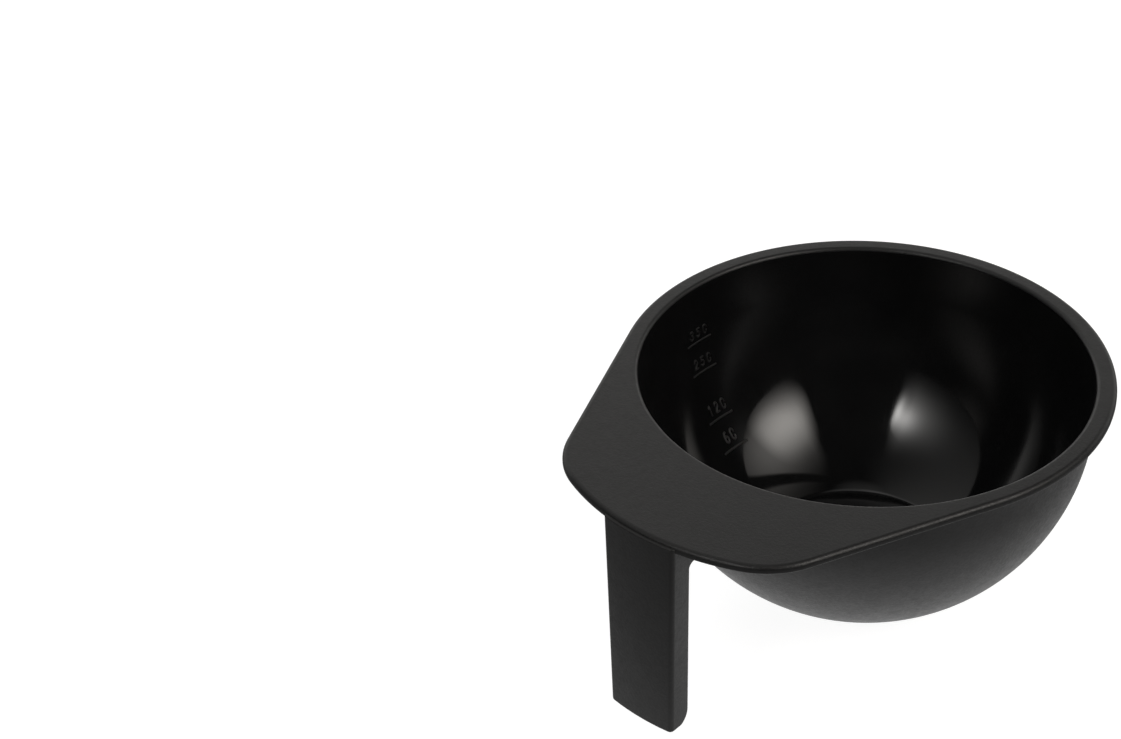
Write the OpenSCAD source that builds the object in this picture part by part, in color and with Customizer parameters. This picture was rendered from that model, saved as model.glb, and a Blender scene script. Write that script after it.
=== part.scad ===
// Salon tint bowl with a thumb lip and a hanging channel handle.
// Origin: centre of the foot, on the surface that the bowl stands on.
// +Z up along the bowl's axis, handle towards -Y. All sizes in millimetres.

/* [Bowl] */
// Height of the rim above the table
rim_height = 68.5; // [66:0.5:74]
// Outer radius of the round part of the bowl
bowl_radius = 62; // [60:0.5:63]
// Height of the round part's centre below the rim
centre_drop = 9.3; // [8:0.1:10]
// Wall thickness
wall = 1.6; // [1.2:0.1:2.2]
// How far the wall leans out between the round part and the rim
wall_lean = 0.8; // [0.2:0.1:1.2]
// Rounding of the opening's inner edge
mouth_rounding = 1.2; // [0.4:0.1:1.3]

/* [Rim and thumb lip] */
// Outer radius of the rim flange
rim_radius = 66.8; // [65.5:0.1:69]
// Thickness of the flange and of the lip
rim_thickness = 2.2; // [1.8:0.1:3]
// Rounding of the flange's upper outer edge
rim_rounding = 1.4; // [0.4:0.1:1.6]
// Angle between each side of the lip and the handle direction
lip_side_angle = 23.6; // [20:0.2:28]
// Radius of the lip's curved end
lip_end_radius = 70; // [60:1:80]
// Reach of the lip's end from the bowl's axis
lip_reach = 93.5; // [90:0.5:96]
// Radius of the lip's two corners
lip_corner_radius = 24; // [16:1:26]
// Depth of the two ribs under the lip
rib_depth = 6.5; // [4:0.1:8]

/* [Handle] */
// Width of the handle under the lip
handle_top_width = 22.8; // [20:0.2:26]
// Width of the handle at its free end
handle_end_width = 20.8; // [18:0.2:22.6]
// Depth of the handle's side flanges
handle_depth = 6.9; // [6:0.1:10]
// Height of the handle's free end above the table
handle_end_height = 6.6; // [4:0.2:20]
// Wall thickness of the handle
handle_wall = 2; // [1.6:0.1:2.6]
// How far the handle stands out from the lip's edge
handle_proud = 0.8; // [0.4:0.1:1.2]
// How far the handle's upper end lies below the top of the lip
handle_step = 0.9; // [0.5:0.1:1.5]
// Rounding of the side flanges' inner lower corners
handle_end_rounding = 4.5; // [2:0.5:5]
// Fillet between the side flanges and the ribs
handle_root_radius = 2.2; // [1:0.1:4]

/* [Floor and foot] */
// Height of the flat floor inside the bowl, above the table
floor_top = 5.3; // [5.2:0.1:5.8]
// Outer radius of the plastic foot collar
collar_radius = 27; // [26.8:0.1:27.2]
// Height of the collar's lower edge above the table
collar_height = 2.5; // [2.2:0.1:2.8]
// Outer radius of the rubber ring
ring_radius = 26.1; // [25.8:0.1:26.2]
// Width of the rubber ring
ring_width = 3.8; // [3:0.1:4.4]
// Thickness of the wall that holds the rubber ring from inside
seat_wall = 1.5; // [1:0.1:2]
// Rounding of the rubber ring's lower edges
ring_rounding = 0.7; // [0.3:0.1:1]

/* [Measuring scale] */
// Depths below the rim of the four measuring lines
line_depths = [18, 27.3, 41.2, 49.1];
// Volumes in millilitres that stand above the lines
line_volumes = [350, 250, 120, 60];
// Length of a measuring line
line_length = 10.2; // [8:0.2:12]
// Width of a raised stroke
stroke = 0.6; // [0.5:0.05:0.8]
// Height of a raised stroke above the wall
relief = 0.25; // [0.2:0.05:0.4]
// Height of a numeral
numeral_height = 3.2; // [3:0.2:4.4]
// Direction of the scale, anticlockwise from +X
scale_angle = 178.5; // [170:0.5:190]

/* [Hidden] */
$fn = 120;
margin = 1;
matte_black = [0.055, 0.055, 0.06];
deep_black = [0.03, 0.03, 0.032];
rubber_black = [0.02, 0.02, 0.021];
rim_under = rim_height - rim_thickness;
rib_under = rim_under - rib_depth;
centre_height = rim_height - centre_drop;
cavity_radius = bowl_radius - wall;
wall_top = bowl_radius + wall_lean;
floor_under = floor_top - wall;
ring_inner = ring_radius - ring_width;
seat_inner = ring_inner - seat_wall;
lip_end_centre = lip_end_radius - lip_reach;
handle_face = lip_end_radius + handle_proud;
handle_top = rim_height - handle_step;
handle_side = lip_end_centre - sqrt(pow(handle_face, 2) - pow(handle_top_width / 2, 2));
handle_back = handle_side + handle_depth;
handle_taper = (handle_top_width - handle_end_width) / 2 / (rim_under - handle_end_height);
numeral_width = numeral_height * 4 / 7;
numeral_pitch = numeral_width + 1.5 * stroke;
numeral_gap = 1;
bar_half = numeral_height / 2;
bar_right = numeral_width - stroke;
// The seven bars that numerals are made of: a letter, the lower left corner and the size
bar_boxes = [["a", [0, numeral_height - stroke], [numeral_width, stroke]],
             ["b", [bar_right, bar_half], [stroke, bar_half]],
             ["c", [bar_right, 0], [stroke, bar_half]],
             ["d", [0, 0], [numeral_width, stroke]],
             ["e", [0, 0], [stroke, bar_half]],
             ["f", [0, bar_half], [stroke, bar_half]],
             ["g", [0, bar_half - stroke / 2], [numeral_width, stroke]]];
// The bars of each digit from 0 to 9
digit_bars = ["abcdef", "bc", "abdeg", "abcdg", "bcfg", "acdfg", "acdefg", "abc", "abcdefg",
              "abcdfg"];

// The corner circle touches the lip's side line and the inside of its end arc.
side_normal = [cos(lip_side_angle), -sin(lip_side_angle)];
side_along = [-sin(lip_side_angle), -cos(lip_side_angle)];
end_centre = [0, lip_end_centre];
corner_across = rim_radius - lip_corner_radius;
corner_offset = corner_across - side_normal * end_centre;
corner_along = side_along * end_centre
    + sqrt(pow(lip_end_radius - lip_corner_radius, 2) - pow(corner_offset, 2));
corner = corner_across * side_normal + corner_along * side_along;
arc_direction = (corner - end_centre) / norm(corner - end_centre);

// Radius at height z of the leaning wall that starts from the given radius
function lean(radius, z) =
    radius + wall_lean * (z - centre_height) / (rim_under - centre_height);

// Half section of a solid with the bowl's outer or inner shape, up to the given height
module bowl_section(radius, top) {
    intersection() {
        translate([0, centre_height]) circle(r = radius);
        square([radius, centre_height]);
    }
    polygon([[0, centre_height], [radius, centre_height], [lean(radius, top), top], [0, top]]);
}

// Half section of the cavity, with a flat floor
module cavity_section() {
    intersection() {
        bowl_section(cavity_radius, rim_height + margin);
        translate([0, floor_top]) square([rim_radius, rim_height]);
    }
}

// Half section of what the rounding takes off the opening's inner edge
module mouth_trim() {
    low = rim_height - mouth_rounding;
    centre = lean(cavity_radius, low) + mouth_rounding;
    difference() {
        translate([cavity_radius, low]) square([centre - cavity_radius, mouth_rounding + margin]);
        translate([centre, low]) circle(r = mouth_rounding);
    }
}

// What the rounding takes off one corner of the lip, on the side given by -1 or 1
module corner_trim(side) {
    reach = 2 * lip_corner_radius;
    mirror([side < 0 ? 1 : 0, 0]) difference() {
        polygon([corner, corner + reach * side_normal, corner + reach * arc_direction]);
        translate(corner) circle(r = lip_corner_radius);
    }
}

// Plan outline of the lip: straight sides that touch the rim, and a wide end arc
module lip_outline() {
    start = rim_radius * side_normal;
    finish = start + lip_reach * side_along;
    difference() {
        intersection() {
            polygon([start, finish, [-finish[0], finish[1]], [-start[0], start[1]]]);
            translate(end_centre) circle(r = lip_end_radius);
        }
        for (side = [-1, 1]) corner_trim(side);
    }
}

// Full tapered block of the handle, up to the given height
module handle_block(top) {
    half_top = handle_top_width / 2 + handle_taper * (top - rim_under);
    half_end = handle_end_width / 2;
    translate([0, handle_back, 0]) rotate([90, 0, 0])
        linear_extrude(height = 2 * handle_depth)
            polygon([[-half_end, handle_end_height], [half_end, handle_end_height],
                     [half_top, top], [-half_top, top]]);
}

// Upright cylinder around the centre of the lip's end arc
module end_cylinder(radius, low, high) {
    translate([0, lip_end_centre, low]) cylinder(r = radius, h = high - low);
}

// Side view of a handle flange: rounded at its free end, filleted at the rib
module flange_profile() {
    low = handle_end_height;
    deep = 2 * handle_depth;
    translate([handle_back - deep, low + handle_end_rounding])
        square([deep, rim_under - low - handle_end_rounding]);
    translate([handle_back - deep, low]) square([deep - handle_end_rounding, handle_end_rounding]);
    translate([handle_back - handle_end_rounding, low + handle_end_rounding])
        circle(r = handle_end_rounding);
    difference() {
        translate([handle_back, rib_under - handle_root_radius])
            square(handle_root_radius);
        translate([handle_back + handle_root_radius, rib_under - handle_root_radius])
            circle(r = handle_root_radius);
    }
}

// Tapered upright slab that holds a side flange and its rib, on the side given by -1 or 1
module side_slab(side) {
    half_top = handle_top_width / 2;
    half_end = handle_end_width / 2;
    rotate([90, 0, 0]) linear_extrude(height = lip_reach + handle_depth)
        polygon([[side * half_end, handle_end_height], [side * half_top, rim_under],
                 [side * (half_top - handle_wall), rim_under],
                 [side * (half_end - handle_wall), handle_end_height]]);
}

// One side flange of the handle, on the side given by -1 or 1
module handle_flange(side) {
    intersection() {
        rotate([90, 0, 90]) translate([0, 0, -handle_top_width])
            linear_extrude(height = 2 * handle_top_width) flange_profile();
        side_slab(side);
        end_cylinder(handle_face - handle_wall, handle_end_height - margin, rim_height);
    }
}

// One rib under the lip, from a side flange of the handle back to the bowl's wall
module lip_rib(side) {
    difference() {
        intersection() {
            side_slab(side);
            translate([-handle_top_width, handle_back, rib_under])
                cube([2 * handle_top_width, -handle_back, rib_depth]);
        }
        rotate_extrude() bowl_section(bowl_radius, rim_height);
    }
}

// A numeral made of straight bars
module numeral(digit) {
    for (bar = bar_boxes)
        if (len(search(bar[0], digit_bars[digit])) > 0) translate(bar[1]) square(bar[2]);
}

// The digits of a whole number, centred, standing on the line y = 0
module number_row(value) {
    count = len(str(value));
    start = -((count - 1) * numeral_pitch + numeral_width) / 2;
    for (i = [0:count - 1])
        translate([start + i * numeral_pitch, 0])
            numeral(floor(value / pow(10, count - 1 - i)) % 10);
}

// Raises a flat drawing from the inside of the wall; drawing +X runs along the wall
// to the right as seen from the bowl's axis, and drawing +Y runs up
module on_wall() {
    rotate([0, 0, scale_angle - 180]) intersection() {
        difference() {
            translate([0, 0, centre_height]) sphere(r = cavity_radius);
            translate([0, 0, centre_height]) sphere(r = cavity_radius - relief);
        }
        translate([-bowl_radius, 0, 0]) rotate([90, 0, 90])
            linear_extrude(height = bowl_radius - collar_radius) children();
    }
}

module bowl_wall() {
    color(matte_black) rotate_extrude() difference() {
        intersection() {
            bowl_section(bowl_radius, rim_height);
            translate([collar_radius, 0]) square([wall_top - collar_radius, rim_height]);
        }
        cavity_section();
        mouth_trim();
    }
}

module bowl_floor() {
    color(deep_black) rotate_extrude() {
        translate([0, floor_under]) square([collar_radius, wall]);
        translate([ring_radius, collar_height])
            square([collar_radius - ring_radius, floor_under - collar_height]);
        translate([seat_inner, collar_height])
            square([ring_inner - seat_inner, floor_under - collar_height]);
    }
}

module rim_flange() {
    round_centre = rim_radius - rim_rounding;
    color(matte_black) rotate_extrude() intersection() {
        translate([wall_top, rim_under]) square([rim_radius - wall_top, rim_thickness]);
        union() {
            square([round_centre, rim_height]);
            square([rim_radius, rim_height - rim_rounding]);
            translate([round_centre, rim_height - rim_rounding]) circle(r = rim_rounding);
        }
    }
}

module thumb_lip() {
    color(matte_black) translate([0, 0, rim_under])
        linear_extrude(height = rim_thickness) difference() {
            lip_outline();
            circle(r = rim_radius);
        }
}

module lip_left_rib() {
    color(matte_black) lip_rib(-1);
}

module lip_right_rib() {
    color(matte_black) lip_rib(1);
}

module handle_web() {
    low = handle_end_height - margin;
    high = rim_height + margin;
    color(matte_black) intersection() {
        handle_block(handle_top);
        difference() {
            end_cylinder(handle_face, low, high);
            end_cylinder(handle_face - handle_wall, low - margin, high + margin);
            end_cylinder(lip_end_radius, rim_under, high + margin);
        }
    }
}

module handle_left_flange() {
    color(matte_black) handle_flange(-1);
}

module handle_right_flange() {
    color(matte_black) handle_flange(1);
}

module non_slip_ring() {
    low = ring_rounding;
    color(rubber_black) rotate_extrude() {
        translate([ring_inner, low]) square([ring_width, floor_under - low]);
        translate([ring_inner + low, 0]) square([ring_width - 2 * low, low]);
        translate([ring_inner + low, low]) circle(r = low);
        translate([ring_radius - low, low]) circle(r = low);
    }
}

module measuring_lines() {
    color(deep_black) on_wall()
        for (depth = line_depths)
            translate([-line_length / 2, rim_height - depth - stroke / 2])
                square([line_length, stroke]);
}

module measuring_numerals() {
    color(deep_black) on_wall()
        for (i = [0:len(line_depths) - 1])
            translate([0, rim_height - line_depths[i] + stroke / 2 + numeral_gap])
                number_row(line_volumes[i]);
}

bowl_wall();
bowl_floor();
rim_flange();
thumb_lip();
lip_left_rib();
lip_right_rib();
handle_web();
handle_left_flange();
handle_right_flange();
non_slip_ring();
measuring_lines();
measuring_numerals();
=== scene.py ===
import math

import bpy
import numpy as np
from mathutils import Matrix, Vector


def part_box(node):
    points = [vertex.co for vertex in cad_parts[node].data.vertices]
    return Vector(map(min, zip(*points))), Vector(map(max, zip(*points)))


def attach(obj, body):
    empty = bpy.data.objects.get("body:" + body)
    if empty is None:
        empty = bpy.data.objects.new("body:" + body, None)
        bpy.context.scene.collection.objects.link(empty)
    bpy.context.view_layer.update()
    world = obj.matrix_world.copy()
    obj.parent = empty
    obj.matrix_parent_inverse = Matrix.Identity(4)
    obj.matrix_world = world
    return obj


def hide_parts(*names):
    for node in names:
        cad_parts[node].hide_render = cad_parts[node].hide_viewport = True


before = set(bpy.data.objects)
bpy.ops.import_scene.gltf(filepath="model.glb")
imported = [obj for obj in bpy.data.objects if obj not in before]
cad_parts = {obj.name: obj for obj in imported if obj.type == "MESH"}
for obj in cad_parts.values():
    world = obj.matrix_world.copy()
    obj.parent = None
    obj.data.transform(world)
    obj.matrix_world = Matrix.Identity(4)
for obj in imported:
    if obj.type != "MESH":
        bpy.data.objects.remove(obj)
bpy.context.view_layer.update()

MM = 0.001
SEGMENTS = 480


def span(node):
    """Lowest and highest corner of a CAD node, in millimetres."""
    low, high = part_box(node)
    return low / MM, high / MM


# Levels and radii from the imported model
RIM_UNDER, RIM_TOP = (corner.z for corner in span("rim_flange"))
RIM_RADIUS = span("rim_flange")[1].x
LIP_REACH = -span("thumb_lip")[0].y
HANDLE_LOW, HANDLE_TOP = (corner.z for corner in span("handle_web"))
COLLAR_RADIUS = span("bowl_floor")[1].x
COLLAR_LOW = span("bowl_floor")[0].z
FLOOR_TOP = span("bowl_floor")[1].z
RIB_UNDER = span("lip_right_rib")[0].z
RING_RADIUS = span("non_slip_ring")[1].x
FLOOR_UNDER = span("non_slip_ring")[1].z

# Sizes that the CAD source states
WALL = 1.6
OUTER_RADIUS = 62.0
CENTRE_HEIGHT = RIM_TOP - 9.3
WALL_LEAN = 0.8
MOUTH_ROUNDING = 1.2
EDGE_ROUNDING = 1.4
LIP_SIDE_ANGLE = math.radians(23.6)
LIP_END_RADIUS = 70.0
LIP_CORNER_RADIUS = 24.0
HANDLE_HALF_TOP = 11.4
HANDLE_HALF_END = 10.4
HANDLE_WALL = 2.0
HANDLE_PROUD = 0.8
HANDLE_DEPTH = 6.9
HANDLE_END_ROUNDING = 4.5
HANDLE_ROOT_RADIUS = 2.2
RING_WIDTH = 3.8
RING_ROUNDING = 0.7
SEAT_WALL = 1.5
LINE_DEPTHS = (18.0, 27.3, 41.2, 49.1)
LINE_VOLUMES = ("350", "250", "120", "60")
LINE_LENGTH = 10.2
STROKE = 0.6
RELIEF = 0.25
NUMERAL_HEIGHT = 3.2
NUMERAL_GAP = 1.0
SCALE_ANGLE = math.radians(178.5)

# Small edges and marks that the CAD leaves out. The tread groove, the gate mark and the sink
# mark are guesses at what such a moulding has.
LOWER_EDGE = 0.4
FLANGE_FILLET = 1.0
SMALL_EDGE = 0.25
HANDLE_CORNER = 1.35
HANDLE_TIP_EDGE = 0.85
HANDLE_INNER_CORNER = 1.2
HANDLE_END_EDGE = 0.8
HANDLE_TOP_EDGE = 0.3
RIB_EDGE = 0.5
COLLAR_TURN = (0.35, 0.55)  # how far out from the collar the wall turns down, and how deep
SEAT_FILLET = 0.6
TREAD_GROOVE = ((0.45, 0.0), (0.3, 0.1), (0.1, 0.16))  # half widths and depths
GATE_MARK = ((3.7, 0.0), (3.2, 0.3), (0.9, 0.3), (0.7, 0.05), (0.0, 0.0))  # radii and depths
SINK_DEPTH = 0.01
SINK_WIDTH = 1.3

# Where pieces meet out of sight: gaps round the ring and beside the ribs, and how far a rib's
# hidden ends lie inside the lip, the wall and the handle
RING_PLAY = 0.04
RIB_PLAY = 0.02
RIB_SUNK = (0.1, 0.4, 0.5)

CAVITY_RADIUS = OUTER_RADIUS - WALL
CAVITY_LEAN = math.radians(5.0)
LIP_END_CENTRE = LIP_END_RADIUS - LIP_REACH
SEAM_RADIUS = OUTER_RADIUS + WALL_LEAN + FLANGE_FILLET


# ---------------------------------------------------------------- curves

def arc(centre, radius, start, end, steps):
    """Points on a circle arc, with angles in degrees."""
    angles = np.radians(np.linspace(start, end, steps + 1))
    return [(centre[0] + radius * math.cos(a), centre[1] + radius * math.sin(a)) for a in angles]


def soften(start, start_way, end, end_way, steps):
    """Points on a smooth curve that leaves start along start_way and meets end along end_way."""
    p0, p3 = np.array(start), np.array(end)
    reach = np.linalg.norm(p3 - p0) * 0.38
    p1 = p0 + reach * np.array(start_way) / np.linalg.norm(start_way)
    p2 = p3 - reach * np.array(end_way) / np.linalg.norm(end_way)
    points = []
    for t in np.linspace(0, 1, steps + 1):
        s = 1 - t
        points.append(tuple(s**3 * p0 + 3 * s * s * t * p1 + 3 * s * t * t * p2 + t**3 * p3))
    return points


def rounded(corners, steps=4):
    """A closed outline with its corners rounded; corners are (x, y, radius)."""
    points = []
    for i, (x, y, radius) in enumerate(corners):
        here = np.array((x, y))
        before = np.array(corners[i - 1][:2]) - here
        after = np.array(corners[(i + 1) % len(corners)][:2]) - here
        lengths = np.linalg.norm(before), np.linalg.norm(after)
        before, after = before / lengths[0], after / lengths[1]
        half = math.acos(max(-1.0, min(1.0, float(before @ after)))) / 2
        if radius <= 0 or half > math.radians(89):
            points.append((x, y))
            continue
        tangent = min(radius / math.tan(half), 0.45 * min(lengths))
        bisector = (before + after) / np.linalg.norm(before + after)
        centre = here + bisector * tangent / math.cos(half)
        first, last = here + before * tangent - centre, here + after * tangent - centre
        for t in np.linspace(0, 1, steps + 1):
            ray = first * (1 - t) + last * t
            scale = np.linalg.norm(first) / np.linalg.norm(ray)
            points.append(tuple(centre + ray * scale))
    return points


# ---------------------------------------------------------------- meshes

def new_piece(name, vertices, faces, materials, face_materials=None):
    """A smooth shaded mesh object; vertices are in millimetres."""
    mesh = bpy.data.meshes.new(name)
    mesh.from_pydata([Vector(v) * MM for v in vertices], [], faces)
    for material in materials:
        mesh.materials.append(material)
    if face_materials is not None:
        mesh.polygons.foreach_set("material_index", face_materials)
    mesh.polygons.foreach_set("use_smooth", [True] * len(mesh.polygons))
    mesh.validate()
    mesh.update()
    piece = bpy.data.objects.new(name, mesh)
    bpy.context.scene.collection.objects.link(piece)
    return piece


def weigh_normals(piece):
    """Keeps wide flat faces flat in shading where they meet narrow roundings."""
    piece.data.set_sharp_from_angle(angle=math.radians(50))
    modifier = piece.modifiers.new("face_weights", "WEIGHTED_NORMAL")
    modifier.mode = "FACE_AREA"
    modifier.weight = 80
    modifier.keep_sharp = True


def lathe(name, profile, materials):
    """A closed solid turned about Z; profile is a closed run of (radius, height, material)."""
    angles = np.linspace(0, 2 * math.pi, SEGMENTS, endpoint=False)
    vertices, rings = [], []
    for radius, height, _ in profile:
        if radius < 1e-6:
            rings.append([len(vertices)] * SEGMENTS)
            vertices.append((0.0, 0.0, height))
        else:
            rings.append(list(range(len(vertices), len(vertices) + SEGMENTS)))
            vertices += [(radius * math.cos(a), radius * math.sin(a), height) for a in angles]
    faces, face_materials = [], []
    for k, ring in enumerate(rings):
        after = rings[(k + 1) % len(rings)]
        if ring[0] == ring[1] and after[0] == after[1]:
            continue
        for i in range(SEGMENTS):
            j = (i + 1) % SEGMENTS
            face = (ring[i], ring[j], after[j], after[i])
            faces.append(tuple(dict.fromkeys(face)))
            face_materials.append(profile[k][2])
    piece = new_piece(name, vertices, faces, materials, face_materials)
    weigh_normals(piece)
    return piece


def loft(name, sections, materials):
    """A closed solid through sections of equal point count, capped at both ends."""
    count = len(sections[0])
    vertices = [p for section in sections for p in section]
    faces = [tuple(reversed(range(count)))]
    for k in range(len(sections) - 1):
        for i in range(count):
            j = (i + 1) % count
            a, b = k * count, (k + 1) * count
            faces.append((a + i, a + j, b + j, b + i))
    top = (len(sections) - 1) * count
    faces.append(tuple(range(top, top + count)))
    return new_piece(name, vertices, faces, materials)


# ---------------------------------------------------------------- node materials

class Nodes:
    """Short calls that build a node tree."""

    def __init__(self, tree):
        self.tree = tree
        tree.nodes.clear()

    def link(self, source, target):
        self.tree.links.new(source, target)

    def feed(self, value, socket):
        if isinstance(value, (int, float, tuple)):
            socket.default_value = value
        else:
            self.link(value, socket)

    def math(self, operation, *values):
        node = self.tree.nodes.new("ShaderNodeMath")
        node.operation = operation
        for value, socket in zip(values, node.inputs):
            self.feed(value, socket)
        return node.outputs[0]

    def noise(self, size, detail=2.0, rough=0.5, where=None, stretch=(1.0, 1.0, 1.0)):
        """Noise from 0 to 1 whose features are about size millimetres across."""
        mapping = self.tree.nodes.new("ShaderNodeMapping")
        mapping.inputs["Scale"].default_value = Vector(stretch) / (size * MM)
        self.link(where or self.place, mapping.inputs["Vector"])
        node = self.tree.nodes.new("ShaderNodeTexNoise")
        node.inputs["Scale"].default_value = 1.0
        node.inputs["Detail"].default_value = detail
        node.inputs["Roughness"].default_value = rough
        self.link(mapping.outputs[0], node.inputs["Vector"])
        return node.outputs["Fac"]

    def spread(self, value, low, high, to_low, to_high):
        """value moved from the range low..high to the range to_low..to_high, held at the ends."""
        node = self.tree.nodes.new("ShaderNodeMapRange")
        node.clamp = True
        for number, name in ((low, "From Min"), (high, "From Max"), (to_low, "To Min"),
                             (to_high, "To Max")):
            node.inputs[name].default_value = number
        self.link(value, node.inputs["Value"])
        return node.outputs["Result"]

    def mix_colour(self, factor, first, second):
        node = self.tree.nodes.new("ShaderNodeMix")
        node.data_type = "RGBA"
        self.feed(factor, node.inputs[0])
        for colour, socket in ((first, node.inputs[6]), (second, node.inputs[7])):
            self.feed((*colour, 1.0) if isinstance(colour, tuple) else colour, socket)
        return node.outputs[2]

    def bump(self, height, depth, strength=1.0, under=None):
        """A bump that is depth millimetres deep between height 0 and height 1."""
        node = self.tree.nodes.new("ShaderNodeBump")
        node.inputs["Distance"].default_value = depth * MM
        node.inputs["Strength"].default_value = strength
        self.link(height, node.inputs["Height"])
        if under is not None:
            self.link(under, node.inputs["Normal"])
        return node.outputs["Normal"]

    def part(self, axis):
        """One coordinate of the texture place, in metres."""
        split = self.tree.nodes.new("ShaderNodeSeparateXYZ")
        self.link(self.place, split.inputs[0])
        return split.outputs[axis]

    def around(self, across, along):
        """Texture coordinates that run round the axis and up it, for marks along the wall."""
        angle = self.math("ARCTAN2", self.part("Y"), self.part("X"))
        join = self.tree.nodes.new("ShaderNodeCombineXYZ")
        self.link(self.math("MULTIPLY", angle, across * MM), join.inputs["X"])
        self.link(self.math("MULTIPLY", self.part("Z"), along), join.inputs["Y"])
        return join.outputs[0]


class Surface(Nodes):
    """A node material on a Principled shader, placed by object coordinates."""

    def __init__(self, name):
        self.material = bpy.data.materials.new(name)
        self.material.use_nodes = True
        super().__init__(self.material.node_tree)
        self.shader = self.tree.nodes.new("ShaderNodeBsdfPrincipled")
        output = self.tree.nodes.new("ShaderNodeOutputMaterial")
        self.link(self.shader.outputs["BSDF"], output.inputs["Surface"])
        self.place = self.tree.nodes.new("ShaderNodeTexCoord").outputs["Object"]

    def finish(self, colour, roughness, normal, specular=0.5):
        self.feed(colour, self.shader.inputs["Base Color"])
        self.feed(roughness, self.shader.inputs["Roughness"])
        self.link(normal, self.shader.inputs["Normal"])
        self.shader.inputs["IOR"].default_value = 1.5
        self.shader.inputs["Specular IOR Level"].default_value = specular
        return self.material


def grained_plastic():
    """Black polypropylene from a spark-eroded mould: fine even grain, faint flow mottling."""
    n = Surface("grained_black_plastic")
    fine, coarse = n.noise(0.2, 2.0, 0.6), n.noise(0.8, 2.0, 0.6)
    mottle, cloud = n.noise(14.0, 3.0, 0.55), n.noise(3.0, 2.0)
    colour = n.mix_colour(n.spread(mottle, 0.3, 0.7, 0.0, 1.0),
                          (0.0055, 0.0055, 0.0057), (0.0085, 0.0085, 0.0088))
    colour = n.mix_colour(n.spread(fine, 0.55, 0.8, 0.0, 0.6), colour, (0.017, 0.017, 0.0175))
    roughness = n.math("ADD", n.spread(cloud, 0.3, 0.7, 0.40, 0.46),
                       n.spread(coarse, 0.25, 0.75, -0.06, 0.06))
    normal = n.bump(coarse, 0.06, 0.8)
    normal = n.bump(fine, 0.018, 0.8, normal)
    return n.finish(colour, roughness, normal)


def polished_plastic(name="polished_black_plastic", lowest=0.035, highest=0.06):
    """The same plastic against polished steel: deep gloss, slight waviness and fine wipe marks."""
    n = Surface(name)
    wall = n.around(55.0, 1.0)
    streak = n.noise(0.7, 3.0, 0.6, wall, (1.0, 0.05, 1.0))
    smear = n.noise(9.0, 3.0, 0.6)
    speck = n.noise(0.5, 1.0)
    colour = n.mix_colour(n.spread(smear, 0.35, 0.65, 0.0, 1.0),
                          (0.0051, 0.0052, 0.0055), (0.0063, 0.0064, 0.0067))
    roughness = n.math("ADD", n.spread(smear, 0.35, 0.65, lowest, highest),
                       n.spread(streak, 0.45, 0.7, 0.0, 0.03))
    roughness = n.math("ADD", roughness, n.spread(n.part("Z"), 0.026, 0.046, 0.0, 0.17))
    wave = n.noise(16.0, 1.0, 0.4)
    normal = n.bump(wave, 0.12, 0.5)
    normal = n.bump(streak, 0.0012, 0.5, normal)
    normal = n.bump(speck, 0.0006, 0.4, normal)
    return n.finish(colour, roughness, normal)


def foot_rubber():
    """Soft black rubber with a dull skin, fine grain and a little dust."""
    n = Surface("matte_black_rubber")
    fine, dust = n.noise(0.12, 2.0, 0.6), n.noise(1.4, 4.0, 0.65)
    colour = n.mix_colour(n.spread(dust, 0.52, 0.72, 0.0, 0.5),
                          (0.0060, 0.0060, 0.0062), (0.016, 0.0158, 0.0155))
    roughness = n.spread(dust, 0.3, 0.7, 0.68, 0.82)
    return n.finish(colour, roughness, n.bump(fine, 0.02, 0.7), 0.4)


# ---------------------------------------------------------------- the bowl

def wall_radius(radius, height):
    """Radius of the leaning wall above the round part."""
    return radius + WALL_LEAN * (height - CENTRE_HEIGHT) / (RIM_UNDER - CENTRE_HEIGHT)


def round_part(radius, first, last, steps):
    """Points on the round part between two radii, from the lower one up."""
    angles = np.linspace(math.asin(first / radius), math.asin(last / radius), steps + 1)
    return [(radius * math.sin(a), CENTRE_HEIGHT - radius * math.cos(a)) for a in angles]


def round_point(radius, across):
    """The point of the round part at one distance from the axis."""
    return across, CENTRE_HEIGHT - math.sqrt(radius**2 - across**2)


def slope_at(point):
    """Upward direction along the round part at a point of it."""
    return CENTRE_HEIGHT - point[1], point[0]


def inside_curve(low_radius, top):
    """The cavity's side: the round part runs straight on where it reaches the wall's lean."""
    curve = round_part(CAVITY_RADIUS, low_radius, CAVITY_RADIUS * math.cos(CAVITY_LEAN), 48)
    return curve + [(curve[-1][0] + (top - curve[-1][1]) * math.tan(CAVITY_LEAN), top)]


def side_curve(radius, low_radius, top):
    """The bowl's outer side, from low_radius on the round part up to the height top."""
    blend_end = CENTRE_HEIGHT + 4.0
    curve = round_part(radius, low_radius, radius * math.cos(math.radians(4.0)), 38)
    lean_way = (WALL_LEAN, RIM_UNDER - CENTRE_HEIGHT)
    meet = (wall_radius(radius, blend_end), blend_end)
    curve += soften(curve[-1], slope_at(curve[-1]), meet, lean_way, 10)[1:]
    return curve + [(wall_radius(radius, top), top)]


def floor_curve():
    """The flat floor, with a faint sink mark over the ring's seat, and its tight turn upwards."""
    corner = math.sqrt(CAVITY_RADIUS**2 - (CENTRE_HEIGHT - FLOOR_TOP) ** 2)
    seat = RING_RADIUS - RING_WIDTH / 2
    turn_start, turn_end = corner - 0.5, round_point(CAVITY_RADIUS, corner + 0.75)
    curve = [(r, FLOOR_TOP - SINK_DEPTH * math.exp(-(((r - seat) / SINK_WIDTH) ** 2)))
             for r in np.linspace(0, turn_start - 0.05, 34)]
    curve += soften((turn_start, FLOOR_TOP), (1, 0), turn_end, slope_at(turn_end), 8)
    return curve, turn_end[0]


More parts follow.
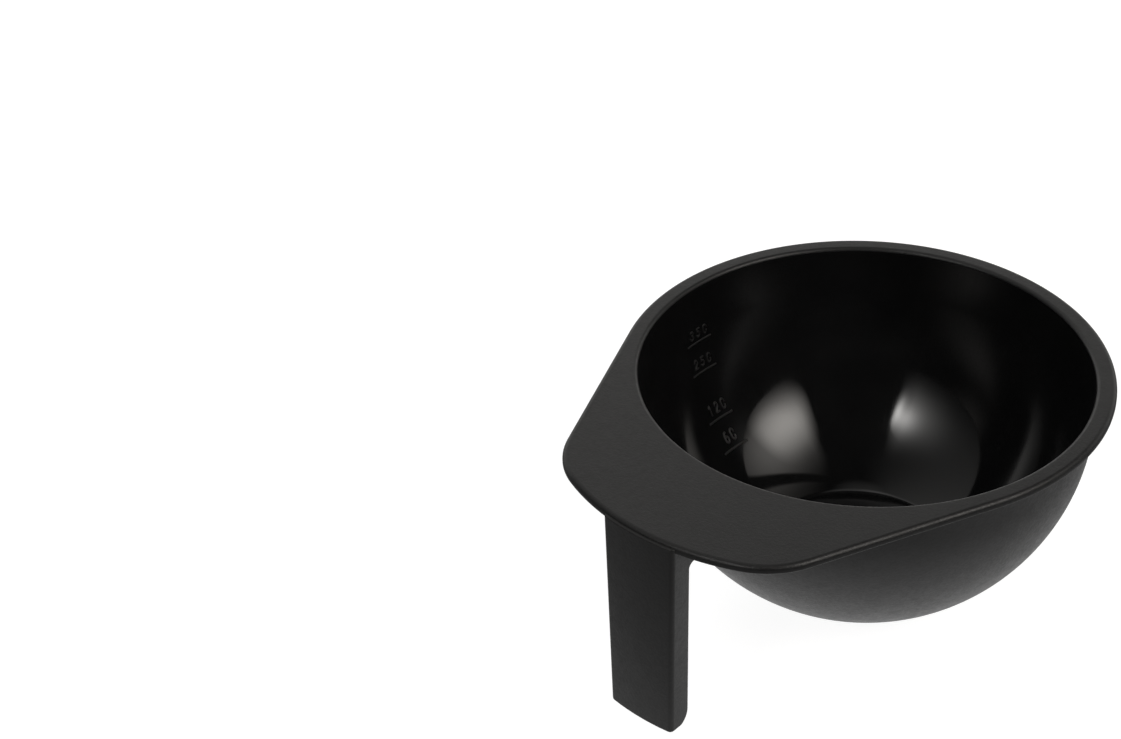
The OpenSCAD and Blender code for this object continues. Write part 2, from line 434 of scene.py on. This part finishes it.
def foot_curve():
    """The underside, from the outer wall over the collar and the ring's seat to the axis."""
    seat_outer, seat_inner = RING_RADIUS, RING_RADIUS - RING_WIDTH
    inner_wall = seat_inner - SEAT_WALL
    e, fillet = SMALL_EDGE, SEAT_FILLET
    out, down = COLLAR_TURN
    meet = round_point(OUTER_RADIUS, COLLAR_RADIUS + out)
    curve = soften(meet, [-part for part in slope_at(meet)],
                   (COLLAR_RADIUS, meet[1] - down), (0, -1), 5)
    curve += arc((COLLAR_RADIUS - e, COLLAR_LOW + e), e, 0, -90, 4)
    curve += arc((seat_outer + e, COLLAR_LOW + e), e, -90, -180, 4)
    curve += [(seat_outer, FLOOR_UNDER), (seat_inner, FLOOR_UNDER)]
    curve += arc((seat_inner - e, COLLAR_LOW + e), e, 0, -90, 4)
    curve += arc((inner_wall + e, COLLAR_LOW + e), e, -90, -180, 4)
    curve += arc((inner_wall - fillet, FLOOR_UNDER - fillet), fillet, 0, 90, 5)
    return curve + [(radius, FLOOR_UNDER + depth) for radius, depth in GATE_MARK]


def make_cup(polished, grained):
    """The bowl itself: polished cavity, grained outside, and the foot with the ring's seat."""
    inside, rise = floor_curve()
    inside += inside_curve(rise, RIM_TOP - MOUTH_ROUNDING * (1 - math.sin(CAVITY_LEAN)))[1:]
    mouth = (inside[-1][0] + MOUTH_ROUNDING * math.cos(CAVITY_LEAN), RIM_TOP - MOUTH_ROUNDING)
    turn = arc(mouth, MOUTH_ROUNDING, 180 - math.degrees(CAVITY_LEAN), 90, 12)[1:]
    outside = side_curve(OUTER_RADIUS, COLLAR_RADIUS + COLLAR_TURN[0], RIM_UNDER - FLANGE_FILLET)
    fillet = soften(outside[-1], (WALL_LEAN, RIM_UNDER - CENTRE_HEIGHT),
                    (SEAM_RADIUS, RIM_UNDER), (1, 0), 6)
    profile = [(r, z, 0) for r, z in inside] + [(r, z, 1) for r, z in turn]
    profile += [(r, RIM_TOP, 1) for r in np.linspace(mouth[0], SEAM_RADIUS, 3)[1:]]
    profile += [(r, z, 1) for r, z in reversed(fillet)]
    profile += [(r, z, 1) for r, z in reversed(outside[:-1])]
    profile += [(r, z, 1) for r, z in foot_curve()[1:]]
    return lathe("bowl_cup", profile, [polished, grained])


def make_foot_ring(rubber):
    """The rubber ring under the foot: rounded lower edges, a shallow groove in its tread."""
    inner, outer = RING_RADIUS - RING_WIDTH + RING_PLAY, RING_RADIUS - RING_PLAY
    middle, top, e = (inner + outer) / 2, FLOOR_UNDER - RING_PLAY / 2, RING_ROUNDING
    points = [(inner, top)] + arc((inner + e, e), e, 180, 270, 6)
    points += [(middle - half, depth) for half, depth in TREAD_GROOVE]
    points += [(middle + half, depth) for half, depth in reversed(TREAD_GROOVE)]
    points += arc((outer - e, e), e, 270, 360, 6) + [(outer, top)]
    return lathe("foot_ring", [(r, z, 0) for r, z in points], [rubber])


# ---------------------------------------------------------------- rim and lip

def half_outline():
    """Plan outline of rim and lip for x > 0, from +Y round to -Y: point and outward angle."""
    normal = np.array((math.cos(LIP_SIDE_ANGLE), -math.sin(LIP_SIDE_ANGLE)))
    along = np.array((-math.sin(LIP_SIDE_ANGLE), -math.cos(LIP_SIDE_ANGLE)))
    end_centre = np.array((0.0, LIP_END_CENTRE))
    across = RIM_RADIUS - LIP_CORNER_RADIUS
    offset = across - normal @ end_centre
    reach = along @ end_centre + math.sqrt((LIP_END_RADIUS - LIP_CORNER_RADIUS) ** 2 - offset**2)
    corner = across * normal + reach * along
    turn = math.atan2(*(corner - end_centre)[::-1])
    stretches = [(np.zeros(2), RIM_RADIUS, math.pi / 2, -LIP_SIDE_ANGLE),
                 (corner, LIP_CORNER_RADIUS, -LIP_SIDE_ANGLE, turn),
                 (end_centre, LIP_END_RADIUS, turn, -math.pi / 2)]
    rows = []
    for centre, radius, start, end in stretches:
        for angle in np.linspace(start, end, 400):
            rows.append((*(centre + radius * np.array((math.cos(angle), math.sin(angle)))), angle))
    return np.array(rows)


def outline():
    """The whole outline sampled at the lathe's own angles, so that the two pieces meet exactly."""
    half = half_outline()
    polar = np.arctan2(half[:, 1], half[:, 0])
    order = np.argsort(polar)
    points = []
    for angle in np.linspace(0, 2 * math.pi, SEGMENTS, endpoint=False):
        x_side = 1 if math.cos(angle) >= 0 else -1
        folded = math.asin(math.sin(angle))
        x, y, way = (np.interp(folded, polar[order], half[order, k]) for k in range(3))
        points.append((x_side * x, y, x_side * math.cos(way), math.sin(way)))
    return points


def make_plate(grained):
    """Rim flange and thumb lip in one plate with rounded edges, open where the cup sits."""
    rows = outline()
    steps = [(EDGE_ROUNDING * (1 - math.sin(t)), RIM_TOP - EDGE_ROUNDING * (1 - math.cos(t)))
             for t in np.linspace(0, math.pi / 2, 9)]
    steps += [(LOWER_EDGE * (1 - math.cos(t)), RIM_UNDER + LOWER_EDGE * (1 - math.sin(t)))
              for t in np.linspace(0, math.pi / 2, 6)]
    angles = np.linspace(0, 2 * math.pi, SEGMENTS, endpoint=False)
    rings = [[(x - inset * nx, y - inset * ny, z) for x, y, nx, ny in rows] for inset, z in steps]
    seam = [(SEAM_RADIUS * math.cos(a), SEAM_RADIUS * math.sin(a)) for a in angles]
    rings.append([(x, y, RIM_UNDER) for x, y in seam])
    rings.append([(x, y, RIM_TOP) for x, y in seam])
    vertices = [p for ring in rings for p in ring]
    faces = []
    for k in range(len(rings)):
        a, b = k * SEGMENTS, (k + 1) % len(rings) * SEGMENTS
        for i in range(SEGMENTS):
            j = (i + 1) % SEGMENTS
            faces.append((a + i, b + i, b + j, a + j))
    piece = new_piece("rim_and_lip", vertices, faces, [grained])
    weigh_normals(piece)
    return piece


# ---------------------------------------------------------------- handle

def half_width(height):
    """Half the width of the tapered handle at one height."""
    share = (height - HANDLE_LOW) / (RIM_UNDER - HANDLE_LOW)
    return HANDLE_HALF_END + (HANDLE_HALF_TOP - HANDLE_HALF_END) * share


def channel_section(height, tip, inset):
    """Plan of the handle at one height: a curved web and two flanges back to y = tip."""
    half = half_width(height) - inset
    inner_half = half - HANDLE_WALL + 2 * inset
    face = LIP_END_RADIUS + HANDLE_PROUD - inset
    back = LIP_END_RADIUS + HANDLE_PROUD - HANDLE_WALL + inset

    def web(radius, x):
        return LIP_END_CENTRE - math.sqrt(radius**2 - x**2)

    convex, concave = HANDLE_CORNER - inset, HANDLE_INNER_CORNER + inset
    tip_edge = max(HANDLE_TIP_EDGE - inset, 0.05)
    reach, inner_reach = half - 3.0, inner_half - 1.2
    corners = [(-half, web(face, half), convex)]
    corners += [(x, web(face, x), 0) for x in np.linspace(-reach, reach, 13)]
    corners += [(half, web(face, half), convex), (half, tip - inset, tip_edge),
                (inner_half, tip - inset, tip_edge), (inner_half, web(back, inner_half), concave)]
    corners += [(x, web(back, x), 0) for x in np.linspace(inner_reach, -inner_reach, 15)]
    corners += [(-inner_half, web(back, inner_half), concave),
                (-inner_half, tip - inset, tip_edge), (-half, tip - inset, tip_edge)]
    return [(x, y, height) for x, y in rounded(corners)]


def make_rib(side, grained):
    """One rib under the lip, from inside the handle's flange to inside the bowl's wall."""
    into_lip, into_wall, into_handle = RIB_SUNK
    top, thick = RIM_UNDER + into_lip, HANDLE_WALL - 2 * RIB_PLAY
    outer_top, outer_low = (half_width(z) - RIB_PLAY for z in (top, RIB_UNDER))
    corners = [(outer_top, top, 0), (outer_top - thick, top, 0),
               (outer_low - thick, RIB_UNDER, RIB_EDGE), (outer_low, RIB_UNDER, RIB_EDGE)]
    front = span("lip_right_rib")[0].y - into_handle
    back = -math.sqrt(OUTER_RADIUS**2 - outer_low**2) + into_wall
    section = rounded(corners[::side])
    return loft(f"lip_rib_{'right' if side > 0 else 'left'}",
                [[(side * x, y, z) for x, z in section] for y in (back, front)], [grained])


def make_handle(grained):
    """The hanging channel handle: web, side flanges, rounded free end and root fillet."""
    side = LIP_END_CENTRE - math.sqrt((LIP_END_RADIUS + HANDLE_PROUD) ** 2 - HANDLE_HALF_TOP**2)
    back = side + HANDLE_DEPTH
    end_edge, top_edge = HANDLE_END_EDGE, HANDLE_TOP_EDGE
    low_turn = HANDLE_LOW + HANDLE_END_ROUNDING
    root = RIB_UNDER - HANDLE_ROOT_RADIUS
    levels = [HANDLE_LOW + end_edge * (1 - math.cos(t)) for t in np.linspace(0, math.pi / 2, 5)]
    levels += [low_turn - HANDLE_END_ROUNDING * math.cos(t)
               for t in np.linspace(math.radians(32), math.pi / 2, 9)]
    levels += list(np.linspace(low_turn, root, 14))[1:]
    levels += [root + HANDLE_ROOT_RADIUS * math.sin(t) for t in np.linspace(0, math.pi / 2, 9)[1:]]
    levels += [HANDLE_TOP - top_edge * (1 - math.sin(t)) for t in np.linspace(0, math.pi / 2, 4)]
    sections = []
    for height in sorted(levels):
        tip, inset = back, 0.0
        if height < low_turn:
            drop = low_turn - height
            tip -= HANDLE_END_ROUNDING - math.sqrt(HANDLE_END_ROUNDING**2 - drop**2)
        if height > root:
            rise = min(height - root, HANDLE_ROOT_RADIUS)
            tip += HANDLE_ROOT_RADIUS - math.sqrt(HANDLE_ROOT_RADIUS**2 - rise**2)
        if height < HANDLE_LOW + end_edge:
            rest = HANDLE_LOW + end_edge - height
            inset = end_edge - math.sqrt(end_edge**2 - rest**2)
        if height > HANDLE_TOP - top_edge:
            rest = height - HANDLE_TOP + top_edge
            inset = top_edge - math.sqrt(max(top_edge**2 - rest**2, 0.0))
        sections.append(channel_section(height, tip, inset))
    piece = loft("handle_channel", sections, [grained])
    weigh_normals(piece)
    return piece


# ---------------------------------------------------------------- measuring scale

def oval(x, y, wide, high, start, end, steps=14):
    """Points on an upright oval's arc, with angles in degrees."""
    angles = np.radians(np.linspace(start, end, steps + 1))
    return [(x + wide * math.cos(a), y + high * math.sin(a)) for a in angles]


# Centre lines of the digits in a box from (0, 0) to (1, 1)
DIGITS = {
    "0": [oval(0.5, 0.7, 0.5, 0.3, 0, 180) + oval(0.5, 0.3, 0.5, 0.3, 180, 360)],
    "1": [[(0.2, 0.8), (0.55, 1.0), (0.55, 0.0)]],
    "2": [oval(0.5, 0.7, 0.46, 0.3, 165, -30) + [(0.0, 0.0), (1.0, 0.0)]],
    "3": [oval(0.46, 0.75, 0.44, 0.25, 150, -90) + oval(0.46, 0.25, 0.5, 0.25, 90, -150)],
    "5": [[(0.92, 1.0), (0.12, 1.0), (0.06, 0.56)] + oval(0.46, 0.32, 0.5, 0.32, 125, -145)],
    "6": [oval(0.6, 0.42, 0.6, 0.58, 75, 180) + oval(0.5, 0.3, 0.5, 0.3, 165, 540, 24)],
}


def on_wall(x, y, lift):
    """A point of the scale: x along the wall, y its height, lift above the wall's skin."""
    rise = y - CENTRE_HEIGHT
    flat = Vector((-math.sqrt(CAVITY_RADIUS**2 - x * x - rise * rise), x, rise))
    placed = flat * (1 - lift / CAVITY_RADIUS)
    turn = SCALE_ANGLE - math.pi
    return Vector((placed.x * math.cos(turn) - placed.y * math.sin(turn),
                   placed.x * math.sin(turn) + placed.y * math.cos(turn),
                   placed.z + CENTRE_HEIGHT))


def dense(points, step=0.2):
    """The same line with a point at least every step millimetres."""
    result = [np.array(points[0])]
    for point in points[1:]:
        point = np.array(point)
        gap = point - result[-1]
        count = max(1, math.ceil(np.linalg.norm(gap) / step))
        start = result[-1]
        result += [start + gap * k / count for k in range(1, count + 1)]
    return result


def raised_stroke(points):
    """Vertices and faces of one rounded bead along a line of the scale."""
    line = dense(points)
    half, sunk, count = STROKE / 2, 0.06, 8
    tangents = np.gradient(np.array(line), axis=0)
    # Rounded start, the line itself (None) and rounded end: index, degrees round the cap, side
    ends = [(0, t, -1) for t in (90, 60, 30)] + [(None, 0, 0)] + [(-1, t, 1) for t in (30, 60, 90)]
    stations = []
    for index, angle, way in ends:
        for k in (range(len(line)) if index is None else [index]):
            along = tangents[k] / np.linalg.norm(tangents[k])
            turn = math.radians(angle)
            stations.append((line[k] + way * half * math.sin(turn) * along, along,
                             max(math.cos(turn), 0.05)))
    vertices, faces = [], []
    for place, along, size in stations:
        across = np.array((-along[1], along[0]))
        vertices.append(on_wall(*(place - half * size * across), -sunk))
        for t in np.linspace(0, math.pi, count - 1):
            at = place - half * size * math.cos(t) * across
            vertices.append(on_wall(*at, RELIEF * size * math.sin(t) ** 0.8))
        vertices.append(on_wall(*(place + half * size * across), -sunk))
    ring = count + 1
    for k in range(len(stations) - 1):
        for i in range(ring):
            j = (i + 1) % ring
            a, b = k * ring, (k + 1) * ring
            faces.append((a + i, b + i, b + j, a + j))
    faces.append(tuple(range(ring)))
    faces.append(tuple(reversed(range(len(vertices) - ring, len(vertices)))))
    return vertices, faces


def scale_piece(name, strokes, material):
    vertices, faces = [], []
    for stroke in strokes:
        more, shapes = raised_stroke(stroke)
        faces += [tuple(i + len(vertices) for i in shape) for shape in shapes]
        vertices += more
    return new_piece(name, vertices, faces, [material])


def make_lines(material):
    """The four raised volume lines."""
    reach = LINE_LENGTH / 2 - STROKE / 2
    strokes = [[(-reach, RIM_TOP - depth), (reach, RIM_TOP - depth)] for depth in LINE_DEPTHS]
    return scale_piece("volume_lines", strokes, material)


def make_numerals(material):
    """The volume numerals, centred above their lines."""
    wide = NUMERAL_HEIGHT * 4 / 7
    pitch, gap = wide + 1.5 * STROKE, NUMERAL_GAP + STROKE
    strokes = []
    for depth, text in zip(LINE_DEPTHS, LINE_VOLUMES):
        start = -((len(text) - 1) * pitch + wide) / 2 + STROKE / 2
        base = RIM_TOP - depth + gap
        for k, digit in enumerate(text):
            for line in DIGITS[digit]:
                strokes.append([(start + k * pitch + x * (wide - STROKE),
                                 base + y * (NUMERAL_HEIGHT - STROKE)) for x, y in line])
    return scale_piece("volume_numerals", strokes, material)


# ---------------------------------------------------------------- stage, light and camera

# Radius of the floor and the backdrop, in metres, and how brightly the sheet glows
STAGE_RADIUS = 12.0
SHEET_GLOW = 0.93
# Brightness of the table's light under the bowl and far from it, and how far out each reaches
TABLE_GLOW = ((0.045, 0.8), (0.155, 0.14))
# Soft lights round the bowl, in degrees of azimuth and elevation seen from it. Each is an oval
# window, with its centre, its half sizes and the softness of its edge, that is brightest at one
# place and fades away from it: that place, the spread both ways and the brightness. For all of
# them but the low light behind, at 215 degrees, and for the bar, these numbers are the output of
# a least-squares fit to the reflections in the photograph, rounded to two or three digits.
WARM_LIGHTS = (
    {"centre": (94.9, 39.1), "half": (20.6, 18.6), "soft": 0.34,
     "brightest": (91, 38.2), "spread": (19, 8.6), "glow": 4.6},
    {"centre": (116, 50), "half": (36.7, 22), "soft": 0.2,
     "brightest": (102.4, 42.3), "spread": (26.4, 11.2), "glow": 2.2},
)
COOL_LIGHTS = (
    {"centre": (-23, 42), "half": (35.2, 14.2), "soft": 0.04,
     "brightest": (6.8, 43.5), "spread": (7.7, 4.3), "glow": 5.8},
    {"centre": (-38, 30.7), "half": (45.2, 51), "soft": 0.17,
     "brightest": (32, 41.5), "spread": (24.4, 8.3), "glow": 7.2},
    {"centre": (-27.4, 65.7), "half": (42.3, 50.5), "soft": 0.09,
     "brightest": (9.5, 39), "spread": (2, 5), "glow": 6.0},
    {"centre": (-60.7, 54.9), "half": (86.8, 31), "soft": 0.37,
     "brightest": (-153, 61.4), "spread": (72.4, 33), "glow": 0.75},
    {"centre": (215, 5), "half": (75, 36), "soft": 0.3,
     "brightest": (215, 5), "spread": (60, 15), "glow": 1.35},
)
WARM_WHITE = (1.0, 0.96, 0.91)
COOL_WHITE = (1.0, 0.985, 0.96)
# The dark bar that crosses the warm lights, a band along an oval: the oval's centre, half sizes
# and power, and the band's middle and half width in the measure that is 1 on the oval's edge
BAR = {"centre": (93.5, 28), "half": (58.9, 54), "power": 1.2, "middle": 1.007, "half_width": 0.11}
# A round light over the bowl: azimuth, elevation, half angle, softness and brightness
CEILING = (215, 82, 12, 4, 0.45)
# Light that comes evenly from all sides
ROOM_GLOW = 0.02


def toward(azimuth, elevation):
    """Direction from the bowl; azimuth 0 is -Y and 90 is +X, in degrees."""
    a, e = math.radians(azimuth), math.radians(elevation)
    return Vector((math.sin(a) * math.cos(e), -math.cos(a) * math.cos(e), math.sin(e)))


def circle(radius, height, count):
    """Points round the axis, in metres."""
    return [(radius * math.cos(a), radius * math.sin(a), height)
            for a in np.linspace(0, 2 * math.pi, count, endpoint=False)]


def stage_piece(name, vertices, faces, material):
    """A piece of the stage, which isn't part of the object."""
    mesh = bpy.data.meshes.new(name)
    mesh.from_pydata(vertices, [], faces)
    mesh.materials.append(material)
    piece = bpy.data.objects.new(name, mesh)
    bpy.context.scene.collection.objects.link(piece)
    return piece


def only_seen(piece):
    """Keeps a piece of the stage in the camera's view and out of the bowl's light."""
    piece.visible_diffuse = piece.visible_glossy = piece.visible_shadow = False


def pale(name, tone, glow):
    """A plain pale stage material; glow lifts it towards white, evenly or less further out."""
    n = Surface(name)
    n.shader.inputs["Emission Color"].default_value = (1.0, 1.0, 1.0, 1.0)
    if isinstance(glow, tuple):
        (near, bright), (far, dim) = glow
        squares = (n.math("POWER", n.part(axis), 2.0) for axis in "XY")
        n.link(n.spread(n.math("SQRT", n.math("ADD", *squares)), near, far, bright, dim),
               n.shader.inputs["Emission Strength"])
    else:
        n.shader.inputs["Emission Strength"].default_value = glow
    shade = n.mix_colour(n.spread(n.noise(60.0, 2.0), 0.3, 0.7, 0.0, 1.0),
                         (tone, tone, tone), (tone + 0.02, tone + 0.02, tone + 0.02))
    return n.finish(shade, 0.7, n.bump(n.noise(2.0), 0.01, 0.2), 0.2)


def make_stage():
    """A white sheet and sky that only the camera sees, over the pale table that lights the bowl."""
    count, levels = 64, np.linspace(-0.1, 1.55, 16)
    disc = [tuple(range(2 * count))]
    only_seen(stage_piece("floor", circle(STAGE_RADIUS, -0.00002, 2 * count), disc,
                          pale("white_sheet", 0.3, SHEET_GLOW)))
    table = stage_piece("table", circle(STAGE_RADIUS, -0.0005, 2 * count), disc,
                        pale("pale_table", 0.1, TABLE_GLOW))
    table.visible_camera = False
    dome = STAGE_RADIUS - 0.1
    vertices = [p for e in levels for p in circle(dome * math.cos(e), dome * math.sin(e), count)]
    faces = [(k * count + i, k * count + (i + 1) % count, (k + 1) * count + (i + 1) % count,
              (k + 1) * count + i) for k in range(len(levels) - 1) for i in range(count)]
    only_seen(stage_piece("backdrop", vertices, faces, pale("white_backdrop", 0.05, 1.0)))


def away(n, direction, centre, sizes, power):
    """How far a direction lies from a centre: 1 on the edge of an oval with these half sizes."""
    azimuth, elevation = direction
    turned = n.math("WRAP", n.math("SUBTRACT", azimuth, float(centre[0])), 180.0, -180.0)
    lifted = n.math("SUBTRACT", elevation, float(centre[1]))
    shares = (n.math("ABSOLUTE", n.math("DIVIDE", offset, float(size)))
              for offset, size in zip((turned, lifted), sizes))
    return n.math("ADD", *(n.math("POWER", share, power) for share in shares))


def oval_light(n, direction, light):
    """Brightness of one light: a soft-edged oval that fades away from its brightest part."""
    edge, soft = away(n, direction, light["centre"], light["half"], 3.0), light["soft"]
    gate = n.spread(edge, 1 - 2 * soft, 1 + 2 * soft, 1.0, 0.0)
    square = away(n, direction, light["brightest"], light["spread"], 2.0)
    fall = n.math("EXPONENT", n.math("MULTIPLY", square, -0.5))
    return n.math("MULTIPLY", n.math("MULTIPLY", gate, fall), float(light["glow"]))


def make_lights():
    """The world's light: window-like ovals round the camera, a low light behind, one overhead."""
    world = bpy.data.worlds.new("soft_studio")
    world.use_nodes = True
    n = Nodes(world.node_tree)
    way = n.tree.nodes.new("ShaderNodeTexCoord").outputs["Generated"]
    split = n.tree.nodes.new("ShaderNodeSeparateXYZ")
    n.link(way, split.inputs[0])
    to_degrees = 180 / math.pi
    azimuth = n.math("MULTIPLY", n.math("ARCTAN2", split.outputs["X"],
                     n.math("MULTIPLY", split.outputs["Y"], -1.0)), to_degrees)
    elevation = n.math("MULTIPLY", n.math("ARCSINE", split.outputs["Z"]), to_degrees)
    direction = azimuth, elevation
    sums = []
    for lights, total in ((WARM_LIGHTS, 0.0), (COOL_LIGHTS, ROOM_GLOW)):
        for light in lights:
            total = n.math("ADD", oval_light(n, direction, light), total)
        sums.append(total)
    ring = away(n, direction, BAR["centre"], BAR["half"], BAR["power"])
    off = n.math("ABSOLUTE", n.math("SUBTRACT", ring, BAR["middle"]))
    half_width = BAR["half_width"]
    sums[0] = n.math("MULTIPLY", sums[0],
                     n.spread(off, 0.8 * half_width, 1.2 * half_width, 0.0, 1.0))
    ceiling_az, ceiling_el, half_angle, soft, glow = CEILING
    axis = toward(ceiling_az, ceiling_el)
    products = [n.math("MULTIPLY", split.outputs[k], axis[k]) for k in range(3)]
    aligned = n.math("ADD", n.math("ADD", products[0], products[1]), products[2])
    angle = n.math("MULTIPLY", n.math("ARCCOSINE", aligned), to_degrees)
    overhead = n.spread(angle, half_angle - soft, half_angle + soft, glow, 0.0)
    sums[1] = n.math("ADD", sums[1], overhead)
    join = n.tree.nodes.new("ShaderNodeAddShader")
    for total, colour, socket in zip(sums, (WARM_WHITE, COOL_WHITE), join.inputs):
        background = n.tree.nodes.new("ShaderNodeBackground")
        n.link(total, background.inputs["Strength"])
        background.inputs["Color"].default_value = (*colour, 1.0)
        n.link(background.outputs[0], socket)
    output = n.tree.nodes.new("ShaderNodeOutputWorld")
    n.link(join.outputs[0], output.inputs["Surface"])
    bpy.context.scene.world = world


def make_camera():
    """The camera of the reference view: a 72 mm lens that looks down at 34 degrees.

    Its numbers are the output of a least-squares fit to the bowl's outlines in the photograph.
    """
    azimuth, elevation, distance = 34.92, 34.07, 0.61374
    pan, tilt, roll = (math.radians(v) for v in (7.69, -0.45, -2.67))
    out = toward(azimuth, elevation)
    ahead = -out
    right = ahead.cross(Vector((0, 0, 1))).normalized()
    up = right.cross(ahead)
    for axis, angle in (("up", pan), ("right", tilt), ("ahead", roll)):
        about = {"up": up, "right": right, "ahead": ahead}[axis]
        turn = Matrix.Rotation(angle, 3, about)
        ahead, right, up = turn @ ahead, turn @ right, turn @ up
    data = bpy.data.cameras.new("camera")
    data.sensor_width = 36.0
    data.lens = 72.22
    data.clip_start, data.clip_end = 0.01, 50.0
    camera = bpy.data.objects.new("camera", data)
    place = out * distance + Vector((0, 0, RIM_TOP * MM))
    axes = Matrix((right, up, -ahead)).transposed().to_4x4()
    camera.matrix_world = Matrix.Translation(place) @ axes
    bpy.context.scene.collection.objects.link(camera)
    bpy.context.scene.camera = camera


# ---------------------------------------------------------------- assembly

polished, grained, rubber = polished_plastic(), grained_plastic(), foot_rubber()
marks = polished_plastic("polished_scale_plastic", 0.32, 0.38)
for piece, slot, nodes in (
        (make_cup(polished, grained), "bowl_plastic", ("bowl_wall", "bowl_floor")),
        (make_plate(grained), "grained_plastic", ("rim_flange", "thumb_lip")),
        (make_rib(-1, grained), "grained_plastic", ("lip_left_rib",)),
        (make_rib(1, grained), "grained_plastic", ("lip_right_rib",)),
        (make_handle(grained), "grained_plastic",
         ("handle_web", "handle_left_flange", "handle_right_flange")),
        (make_foot_ring(rubber), "foot_rubber", ("non_slip_ring",)),
        (make_lines(marks), "bowl_plastic", ("measuring_lines",)),
        (make_numerals(marks), "bowl_plastic", ("measuring_numerals",))):
    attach(piece, "root")
    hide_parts(*nodes)

make_stage()
make_lights()
make_camera()
view = bpy.context.scene.view_settings
view.view_transform = "Standard"
